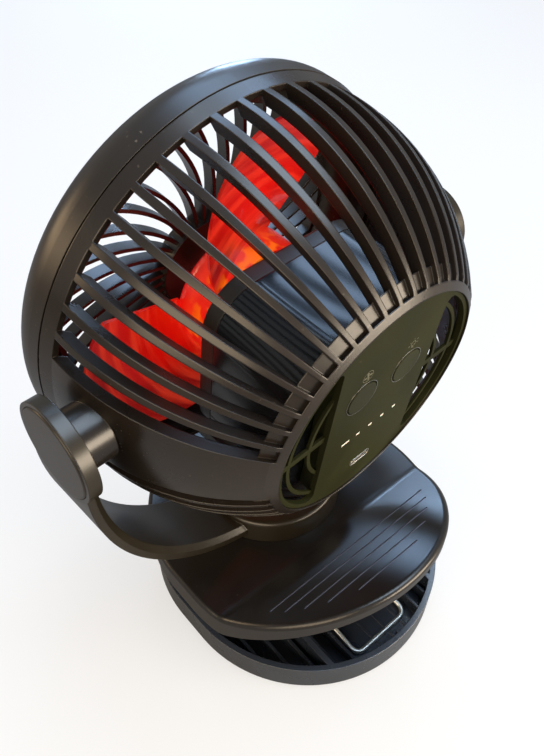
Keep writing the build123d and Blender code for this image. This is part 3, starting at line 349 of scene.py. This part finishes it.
# %% Metals
def metal(name, colour, rough, stretch=(1.0, 1.0, 1.0), stain=(0.30, 0.27, 0.23)):
    """Bare metal with fine marks and a little staining."""
    f = Finish(name)
    squeezed = f.node("ShaderNodeMapping", {}, {"Vector": f.coords, "Scale": stretch})
    marks = f.noise(0.0008, detail=4.0, along=squeezed)
    stains = f.step(f.noise(0.006, detail=4.0), 0.5, 0.75) * 0.35
    f.set(
        Base_Color=f.blend(stains, f.blend(marks, tuple(c * 0.85 for c in colour), colour), stain),
        Metallic=1.0 - stains * 0.4,
        Roughness=rough + (marks - 0.5) * 0.16 + stains * 0.25,
        Normal=f.bump(marks, 0.00002, 0.5),
    )
    return f.material


spring_wire = metal(
    "spring_wire", (0.80, 0.84, 0.83), 0.42, stretch=(0.2, 1.0, 1.0), stain=(0.42, 0.42, 0.38)
)
screw_steel = metal("screw_steel", (0.62, 0.61, 0.60), 0.34)
pin_steel = metal("pin_steel", (0.66, 0.65, 0.63), 0.28, stretch=(1.0, 4.0, 1.0))
can_steel = metal("can_steel", (0.55, 0.55, 0.55), 0.36)
copper_wire = metal("copper_wire", (0.80, 0.36, 0.17), 0.30, stretch=(4.0, 1.0, 1.0))
port_tin = metal("port_plastic", (0.74, 0.72, 0.68), 0.33)
print("metals made")

# %% [markdown]
# ## Clear and milky plastics
# The rotor is clear red plastic: where light comes through the blades they glow from orange
# near the hub to deep red at their tips. Real light through tinted plastic needs many paths,
# so the glow is written into the emission instead, with the red in the base colour. Its
# strength falls along the blade and is broken up by slow noise and by streaks that follow the
# sweep. The distances are measured from the fan axis, and forward along it.

# %% Red blades
BLADE_GLOW = 0.55
HUB_RADIUS = 0.031
TIP_FROM, TIP_FULL = 0.048, 0.084
BACK_FROM, BACK_FULL = 0.010, 0.026
INNER_RED = (0.62, 0.004, 0.0015)
TIP_RED = (0.26, 0.008, 0.010)
SHADED_RED = (0.13, 0.002, 0.002)
STREAK_RED = (0.92, 0.060, 0.022)
FLAME_ORANGE = (1.0, 0.26, 0.004)


def red_blades():
    """Tinted plastic that glows where light gets through it."""
    f = Finish("blade_plastic")
    along = f.across(forward) - PIVOT.dot(forward)
    up = f.across(upward) - PIVOT.dot(upward)
    left = f.across(leftward) - PIVOT.dot(leftward)
    radius = (up * up + left * left) ** 0.5
    flow = f.noise(0.050, detail=1.5, rough=0.4)
    swept = f.node("ShaderNodeCombineXYZ", {}, {0: radius, 1: along * 0.4, 2: flow * 0.01})
    streaks = f.step(f.noise(0.005, detail=2.0, along=swept), 0.42, 0.70)
    flame = f.step(f.noise(0.010, detail=2.0), 0.50, 0.62)
    near_tip = f.step(radius + (flow - 0.5) * 0.02, TIP_FROM, TIP_FULL)
    near_hub = 1.0 - f.step(radius, HUB_RADIUS, HUB_RADIUS + 0.008)
    near_back = 1.0 - f.step(along, BACK_FROM, BACK_FULL)
    red = f.blend(near_tip, INNER_RED, TIP_RED)
    shaded = f.blend(1.0 - f.step(flow, 0.38, 0.58), red, SHADED_RED)
    streaked = f.blend(streaks * 0.65, shaded, STREAK_RED)
    hot = f.blend(near_hub * near_back * flame, streaked, FLAME_ORANGE)
    f.set(
        Base_Color=f.blend(near_tip, (0.60, 0.006, 0.003), (0.36, 0.012, 0.012)),
        Roughness=0.20 + flow * 0.10,
        Coat_Weight=0.3,
        Emission_Color=hot,
        Emission_Strength=BLADE_GLOW,
        Normal=f.bump(streaks, 0.00025, 0.4),
    )
    return f.material


blade_red = red_blades()
print("blade material made")

# %% [markdown]
# Milky plastics stand over the small lights. They scatter light inside, which subsurface
# scattering gives, and the indicator lights are off, so they only look pale.

# %% Milky plastic, board and cell film
def milky(name, colour, rough):
    """Pale plastic that light goes a little way into."""
    f = Finish(name)
    haze = f.noise(0.002, detail=3.0)
    f.set(
        Base_Color=f.blend(haze * 0.4, colour, tuple(c * 0.8 for c in colour)),
        Roughness=rough + (haze - 0.5) * 0.2,
        Subsurface_Weight=0.2,
        Subsurface_Scale=0.001,
        Normal=f.bump(haze, 0.00003, 0.5),
    )
    return f.material


def printed_board():
    """Green solder resist over a faint pattern of tracks."""
    f = Finish("circuit_board")
    inputs = {"Vector": f.coords, "Scale": 350.0}
    cells = f.node("ShaderNodeTexVoronoi", {"distance": "MANHATTAN"}, inputs)
    tracks = f.step(cells, 0.30, 0.34)
    f.set(
        Base_Color=f.blend(tracks, (0.012, 0.075, 0.03), (0.025, 0.13, 0.05)),
        Roughness=0.34 + tracks * 0.1,
        Normal=f.bump(tracks, 0.00004, 0.6),
    )
    return f.material


light_pipe = milky("light_pipe", (0.78, 0.76, 0.70), 0.3)
lens_milk = milky("lens_plastic", (0.83, 0.81, 0.76), 0.35)
board_green = printed_board()
cell_film = moulded("cell_wrap", (0.02, 0.09, 0.19), 0.25, dust=0.0, coat=0.5)
switch_black = moulded("switch_plastic", (0.02, 0.02, 0.02), 0.4, dust=0.0)
washer_white = milky("washer_plastic", (0.45, 0.44, 0.42), 0.4)
rotor_cap_skin = moulded("rotor_cap_plastic", (0.02, 0.016, 0.014), 0.2, coat=0.4)
print("pale and inner finishes made")

# %% [markdown]
# ## A finish for every CAD node
# The real fan mixes one black plastic in several glosses with steel, rubber and clear parts,
# also where only a slot lets the eye in. The finishes could be set piece by piece, but a table
# by name shows at a glance which pieces share one, and a missing name stops the script.

# %% Finish of every CAD node
finish_of = {
    "rear_housing": housing_skin, "front_bezel": bezel_skin, "front_grille": grille_skin,
    "rear_panel": panel_skin_painted_green, "fan_button": button_skin_painted_green, "light_button": button_skin_painted_green,
    "battery_case": case_skin_painted_sky, "battery_cells": cell_film, "cell_cradle": inner_skin,
    "motor_plate": inner_skin, "yoke": yoke_skin, "pivot_cap_left": cap_skin,
    "pivot_cap_right": cap_skin, "swivel_cap": cap_skin, "upper_jaw": jaw_skin_with_groove_highlight,
    "lower_jaw": tray_skin_painted_sky, "upper_grip_pad": pad_rubber, "lower_grip_pad": pad_rubber,
    "rubber_feet": foot_rubber, "clamp_spring": spring_wire, "spring_arms": spring_wire,
    "hinge_pin": pin_steel, "swivel_bush": pin_steel, "swivel_washer": pin_steel,
    "swivel_screw": screw_steel, "case_screws": screw_steel, "tilt_bolt_left": screw_steel,
    "tilt_bolt_right": screw_steel, "tilt_washer_left": washer_white,
    "tilt_washer_right": washer_white, "motor_shaft": pin_steel, "motor_bearings": pin_steel,
    "motor_can": can_steel, "motor_windings": copper_wire, "fan_rotor": blade_red,
    "rotor_cap": rotor_cap_skin, "control_board": board_green, "light_board": board_green,
    "button_switches": switch_black, "indicator_lights": light_pipe, "light_lens": lens_milk,
    "charge_port": port_tin,
}
for name, piece in nodes.items():
    piece.data.materials.clear()
    piece.data.materials.append(finish_of[name])
print("finished nodes:", len(nodes))

# %% [markdown]
# ## Marks on the control panel
# Two round keys, a row of small lights and the charging port make up the panel. Around each
# key the moulding has a thin raised lip, above each key is a plain symbol of what it does, and
# the port has a bright metal lip. A CAD solid could hold such thin trim, but it is quicker to
# draw flat shapes here, give them a little thickness and lay them on the panel. The first
# helper lays a flat mesh, drawn round the origin, on the panel's plane.

# %% Lay a flat shape on the panel
PANEL_BACK = -0.0635
PANEL_TURN = Matrix((-leftward, upward, -forward)).transposed().to_4x4()


def lay_on_panel(piece, left, up, skin):
    """Gives a flat piece its place on the panel and its finish, and lets it ride on the head."""
    piece.matrix_world = Matrix.Translation(on_head(PANEL_BACK, left, up)) @ PANEL_TURN
    bpy.ops.object.select_all(action="DESELECT")
    bpy.context.view_layer.objects.active = piece
    piece.select_set(True)
    bpy.ops.object.transform_apply(location=True, rotation=True, scale=True)
    piece.data.materials.clear()
    piece.data.materials.append(skin)
    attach(piece, "head")
    piece.select_set(False)


def key_centre(node):
    """Left and up place of a key on the panel, from its CAD box."""
    low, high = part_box(node)
    middle = (Vector(low) + Vector(high)) / 2 - PIVOT
    return middle.dot(leftward), middle.dot(upward)


for key in ("fan_button", "light_button"):
    print(key, "at", [round(v, 4) for v in key_centre(key)])

# %% [markdown]
# A lip is a flat ring: a circle whose edge is extruded outwards, then made solid with the
# Solidify modifier and softened with Bevel. The port's lip is the same ring, pulled out in the
# middle so that it follows the round-ended mouth.

# %% Lips round the keys and the port
KEY_LIP = (0.00855, 0.00045, 0.0005)  # inner radius, width and height
PORT_LIP = (0.0020, 0.0004, 0.0003)
PORT_PULL = 0.0041
ON_MIDDLE = 1e-6


def lip(name, inner, width, height, pull=0.0):
    """Flat ring about the origin with a soft top, pulled apart along X by pull."""
    bpy.ops.object.select_all(action="DESELECT")
    bpy.ops.mesh.primitive_circle_add(vertices=96, radius=inner, fill_type="NOTHING")
    ring = bpy.context.object
    ring.name = name
    bpy.ops.object.mode_set(mode="EDIT")
    bpy.ops.mesh.select_all(action="SELECT")
    bpy.ops.mesh.extrude_region_move()
    grow = (inner + width) / inner
    bpy.ops.transform.resize(value=(grow, grow, 1.0))
    bpy.ops.mesh.select_all(action="SELECT")
    bpy.ops.mesh.normals_make_consistent(inside=False)
    bpy.ops.object.mode_set(mode="OBJECT")
    for corner in ring.data.vertices:
        if abs(corner.co.x) > ON_MIDDLE:
            corner.co.x += math.copysign(pull, corner.co.x)
    thick = ring.modifiers.new("thickness", "SOLIDIFY")
    thick.thickness = height
    thick.offset = 0.0
    soft = ring.modifiers.new("soft_edges", "BEVEL")
    soft.width = min(width, height) * 0.3
    soft.segments = 2
    for modifier in (thick.name, soft.name):
        bpy.ops.object.modifier_apply(modifier=modifier)
    bpy.ops.object.shade_smooth_by_angle(angle=math.radians(40))
    return ring


# The lips are paler and glossier than the panel: their raised edge is real, and the paler colour
# paints part of its highlight.
lip_skin_painted_highlight = moulded(
    "lip_plastic_painted_highlight", (0.03, 0.03, 0.02), 0.16, dust=0.0, shine=0.8, coat=0.4, grain=0.0
)
for name, key in (("fan_key_lip", "fan_button"), ("light_key_lip", "light_button")):
    lay_on_panel(lip(name, *KEY_LIP), *key_centre(key), lip_skin_painted_highlight)
lay_on_panel(lip("port_lip", *PORT_LIP, pull=PORT_PULL), *key_centre("charge_port"), port_tin)
print("lips made")

# %% [markdown]
# The symbols are plain ones: a small fan over one key and a small lamp over the other. Each is
# a few flat strokes joined into one mesh. A stroke is a circle or a thin bar that is filled,
# shaped and then given a hair of thickness, as printing has.

# %% Strokes and symbols
INK_THICKNESS = 0.00012


def stroke(kind, place, size, turn=0.0):
    """Flat stroke of a symbol, in metres about the symbol's middle.

    A disc is given by its two half-widths, a ring by its inner and outer radius, and a bar by
    its length and width. The turn goes round the symbol's middle.
    """
    bpy.ops.object.select_all(action="DESELECT")
    x, y = place
    if kind == "bar":
        bpy.ops.mesh.primitive_plane_add(size=1.0, location=(x, y, 0.0))
        bpy.ops.object.mode_set(mode="EDIT")
        bpy.ops.transform.resize(value=(size[0], size[1], 1.0))
        bpy.ops.mesh.bevel(offset=min(size) * 0.45, segments=3, affect="VERTICES")
    else:
        bpy.ops.mesh.primitive_circle_add(
            vertices=32, radius=size[0], location=(x, y, 0.0),
            fill_type="NGON" if kind == "disc" else "NOTHING",
        )
        bpy.ops.object.mode_set(mode="EDIT")
        bpy.ops.mesh.select_all(action="SELECT")
        if kind == "disc":
            bpy.ops.transform.resize(value=(1.0, size[1] / size[0], 1.0))
        else:
            bpy.ops.mesh.extrude_region_move()
            grow = size[1] / size[0]
            bpy.ops.transform.resize(value=(grow, grow, 1.0))
    bpy.ops.object.mode_set(mode="OBJECT")
    piece = bpy.context.object
    bpy.ops.object.transform_apply(location=True, rotation=True, scale=True)
    piece.data.transform(Matrix.Rotation(turn, 4, "Z"))
    return piece


def symbol(name, strokes):
    """Joins strokes into one printed symbol."""
    bpy.ops.object.select_all(action="DESELECT")
    for piece in strokes:
        piece.select_set(True)
    bpy.context.view_layer.objects.active = strokes[0]
    bpy.ops.object.join()
    mark = bpy.context.object
    mark.name = name
    ink = mark.modifiers.new("ink", "SOLIDIFY")
    ink.thickness = INK_THICKNESS
    ink.offset = 0.0
    bpy.ops.object.modifier_apply(modifier=ink.name)
    return mark


print("strokes can be drawn")

# %% Symbols over the keys
SYMBOL_RISE = 0.0130
FAN_TURNS = (0, 90, 180, 270)
LAMP_TURNS = (-10, 35, 90, 145, 190)

fan_strokes = [
    stroke("disc", (0.0, 0.0), (0.0005, 0.0005)),
    stroke("ring", (0.0, 0.0), (0.0028, 0.0031)),
]
for turn in FAN_TURNS:
    fan_strokes.append(stroke("disc", (0.0014, 0.0004), (0.0011, 0.0006), math.radians(turn)))
lamp_strokes = [
    stroke("ring", (0.0, 0.0), (0.0012, 0.0015)),
    stroke("bar", (0.0, -0.0021), (0.0014, 0.0005)),
]
for turn in LAMP_TURNS:
    lamp_strokes.append(stroke("bar", (0.0026, 0.0), (0.0010, 0.00035), math.radians(turn)))
ink_skin = moulded("ink_paint", (0.10, 0.10, 0.07), 0.55, dust=0.0, shine=0.2)
for name, key, strokes in (
    ("fan_symbol", "fan_button", fan_strokes),
    ("lamp_symbol", "light_button", lamp_strokes),
):
    left, up = key_centre(key)
    lay_on_panel(symbol(name, strokes), left, up + SYMBOL_RISE, ink_skin)
print("symbols made")

# %% [markdown]
# ## Floor and light
# The fan stands on a plain pale floor under soft studio light. Black plastic shows little of
# its own colour: what makes it readable is what it mirrors. So the lamps are few and large, and
# each has a side of the fan to draw: warm ones stand low behind it and on its left, cool ones
# hang above and on its right, and a small cool one skims over the clamp. The dark gaps between
# them give the contrast. The floor and the air mix in a little of their own light, for the
# camera most, so that the background reads as white and keeps the shadow.

# %% Floor
def rays(graph):
    """1 for rays from the camera, and 1 for rays that gloss or glass sends on."""
    seen = graph.node("ShaderNodeLightPath", {}, {}, output="Is Camera Ray")
    ways = seen.value.node.outputs
    return seen, Wire(graph, ways["Is Glossy Ray"]) + Wire(graph, ways["Is Transmission Ray"])


FLOOR_SIZE = 30.0
NEAR, FAR = 0.7, 2.6
NEAR_GLOW, MORE_GLOW = 0.63, 0.33

bpy.ops.mesh.primitive_plane_add(size=FLOOR_SIZE, location=(0, 0, 0))
floor = bpy.context.object
floor.name = "floor"
f = Finish("floor_paint")
seen, passed_on = rays(f)
f.set(Base_Color=(0.23, 0.23, 0.23), Roughness=0.9, Emission_Color=(1.0, 1.0, 1.0))
distance = f.node("ShaderNodeVectorMath", {"operation": "LENGTH"}, {0: f.coords}, output=1)
glow = NEAR_GLOW + f.step(distance, NEAR, FAR) * MORE_GLOW
f.set(Emission_Strength=seen * glow + passed_on * 0.05)
floor.data.materials.append(f.material)
print("floor made")

# %% Air
world = bpy.data.worlds.new("studio")
bpy.context.scene.world = world
world.use_nodes = True
air = Graph(world.node_tree)
seen, passed_on = rays(air)
backdrop = air.tree.nodes["Background"]
air.feed(backdrop.inputs["Strength"], 0.15 + seen * 0.85 + passed_on * 0.20)
backdrop.inputs["Color"].default_value = (1.0, 1.0, 1.0, 1.0)
print("air made")

# %% Lamps
AIM = Vector((0.0, 0.0, 0.13))
LAMP_DISTANCE = 1.25


def soft_lamp(name, azimuth, elevation, size, watts, colour):
    """Large area lamp that looks at the fan from an azimuth and an elevation in degrees."""
    lamp = bpy.data.lights.new(name, "AREA")
    lamp.shape = "RECTANGLE"
    lamp.size, lamp.size_y = size
    lamp.energy = watts
    lamp.color = colour
    way = toward(math.radians(azimuth), math.radians(elevation))
    holder = bpy.data.objects.new(name, lamp)
    holder.location = AIM + way * LAMP_DISTANCE
    holder.rotation_euler = (-way).to_track_quat("-Z", "Y").to_euler()
    holder.visible_camera = False
    bpy.context.scene.collection.objects.link(holder)
    return holder


COOL = (0.45, 0.67, 1.0)
PALE_COOL = (0.66, 0.82, 1.0)
PALE_WARM = (1.0, 0.84, 0.64)
GOLDEN = (1.0, 0.78, 0.52)
WARM = (1.0, 0.70, 0.40)
lamps = [
    soft_lamp("back_lamp", -157, 10, (1.15, 0.58), 29.0, PALE_WARM),
    soft_lamp("sky_lamp", -42, 50, (0.75, 0.50), 7.0, COOL),
    soft_lamp("top_lamp", -112, 75, (0.90, 0.75), 15.0, PALE_COOL),
    soft_lamp("side_lamp", 113, 27, (1.20, 0.70), 13.0, GOLDEN),
    soft_lamp("low_lamp", -36, 10, (0.20, 0.12), 3.2, COOL),
    soft_lamp("far_lamp", 40, 16, (0.60, 0.35), 3.5, WARM),
]
print("lamps:", [o.name for o in lamps])
